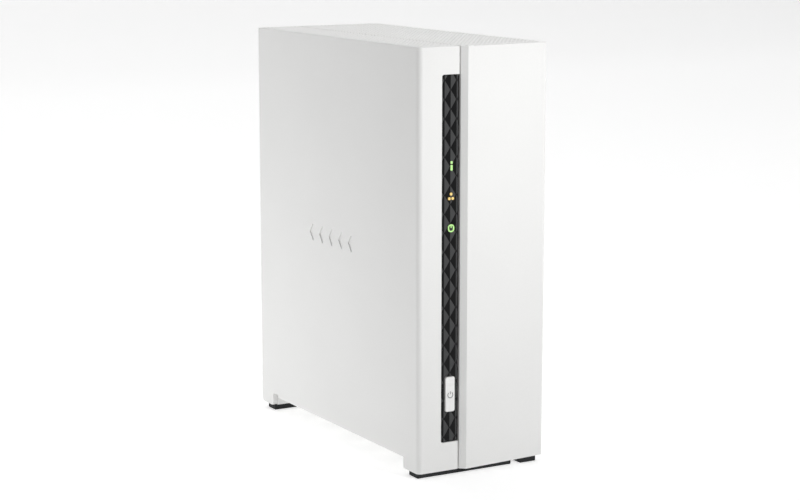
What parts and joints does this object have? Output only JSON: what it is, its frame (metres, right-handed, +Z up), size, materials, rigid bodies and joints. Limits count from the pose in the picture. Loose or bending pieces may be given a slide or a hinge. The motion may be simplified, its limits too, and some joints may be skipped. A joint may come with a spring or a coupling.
{
  "type": "network attached storage",
  "caption": "Upright desktop network storage box for one drive: two white shells, a dark indicator strip with a push button, rear ports and fan grille, on low rubber feet.",
  "frame": {"origin": "centre of the footprint, on the surface the feet stand on", "axes": "+Z up, the front with the indicator strip faces -Y, +X is to the right of somebody who looks at the front"},
  "size_m": [0.0662, 0.1562, 0.1885],
  "materials": {
    "white_shell": "fine matte moulded white",
    "white_button": "satin white",
    "grey_plastic": "matte mid grey",
    "foot_rubber": "matte",
    "smoked_window": "glossy smoked black",
    "icon_green": "translucent, lit",
    "icon_amber": "translucent, lit",
    "clear_plastic": "clear moulding",
    "circuit_board": "solder mask, semi gloss",
    "screw_steel": "zinc plated",
    "steel_sheet": "galvanised sheet",
    "lamp_white": "lamp package",
    "black_plastic": "satin black",
    "chip_black": "moulded package",
    "heatsink_metal": "extruded",
    "coil_grey": "ferrite",
    "capacitor_metal": "can",
    "jack_metal": "tinned sheet",
    "contact_gold": "gold plated",
    "tongue_blue": "moulded",
    "drive_casting": "cast and machined",
    "drive_lid_metal": "pressed",
    "disc_metal": "polished",
    "fan_black": "satin black",
    "coil_copper": "enamelled wire",
    "header_white": "ivory moulding",
    "cable_black": "sleeved leads",
    "ribbon_grey": "flat flexible cable"
  },
  "bodies": {
    "base": {"left_shell": "white_shell", "base_frame": "white_shell", "rear_panel": "white_shell", "lock_plate": "steel_sheet", "base_feet": "foot_rubber", "window_strip": "smoked_window", "status_icon": "icon_green", "network_icon": "icon_amber", "drive_icon": "icon_green", "light_guide": "clear_plastic", "front_board": "circuit_board", "indicator_lamps": "lamp_white", "power_switch": "black_plastic", "mainboard": "circuit_board", "board_screws": "screw_steel", "processor": "chip_black", "heatsink": "heatsink_metal", "board_chips": "chip_black", "power_coils": "coil_grey", "capacitors": "capacitor_metal", "buzzer": "black_plastic", "cell_holder": "black_plastic", "coin_cell": "screw_steel", "network_jack": "jack_metal", "usb_shells": "jack_metal", "usb_tongues": "tongue_blue", "power_jack": "black_plastic", "socket_contacts": "contact_gold", "reset_switch": "black_plastic", "drive_link_board": "circuit_board", "drive_sockets": "black_plastic", "drive_base": "drive_casting", "drive_lid": "drive_lid_metal", "drive_lid_screws": "screw_steel", "drive_board": "circuit_board", "drive_connector": "black_plastic", "drive_cage": "steel_sheet", "cage_screws": "screw_steel", "drive_bushes": "foot_rubber", "drive_screws": "screw_steel", "fan_frame": "fan_black", "fan_bearing": "contact_gold", "fan_coils": "coil_copper", "fan_screws": "screw_steel", "fan_cable": "cable_black", "cable_sockets": "header_white", "front_ribbon": "ribbon_grey", "cover_screws": "screw_steel"},
    "cover": {"case_cover": "white_shell", "cover_feet": "foot_rubber"},
    "power_button": {"power_button": "white_button", "switch_plunger": "black_plastic"},
    "reset_button": {"reset_button": "grey_plastic"},
    "fan_rotor": {"fan_rotor": "fan_black", "fan_magnet": "coil_grey", "fan_shaft": "screw_steel"},
    "drive_discs": {"drive_discs": "disc_metal"},
    "drive_arm": {"drive_arm": "heatsink_metal"}
  },
  "joints": [
    {"name": "cover_slide", "type": "slide", "parent": "base", "child": "cover", "axis": [0, -1, 0], "range_m": [0, 0.165]},
    {"name": "power_press", "type": "slide", "parent": "base", "child": "power_button", "axis": [0, 1, 0], "range_m": [0, 0.0006], "stiffness_N_per_m": 1500, "springref_m": -0.0003},
    {"name": "reset_press", "type": "slide", "parent": "base", "child": "reset_button", "axis": [0, -1, 0], "range_m": [0, 0.0004], "stiffness_N_per_m": 2000, "springref_m": -0.0002},
    {"name": "fan_spin", "type": "hinge", "parent": "base", "child": "fan_rotor", "pos_m": [0, 0.067, 0.131], "axis": [0, -1, 0], "continuous": true},
    {"name": "disc_spin", "type": "hinge", "parent": "base", "child": "drive_discs", "pos_m": [0.015, -0.0168, 0.118], "axis": [1, 0, 0], "continuous": true},
    {"name": "arm_swing", "type": "hinge", "parent": "base", "child": "drive_arm", "pos_m": [0.015, 0.0132, 0.058], "axis": [-1, 0, 0], "range_deg": [0, 32]}
  ]
}
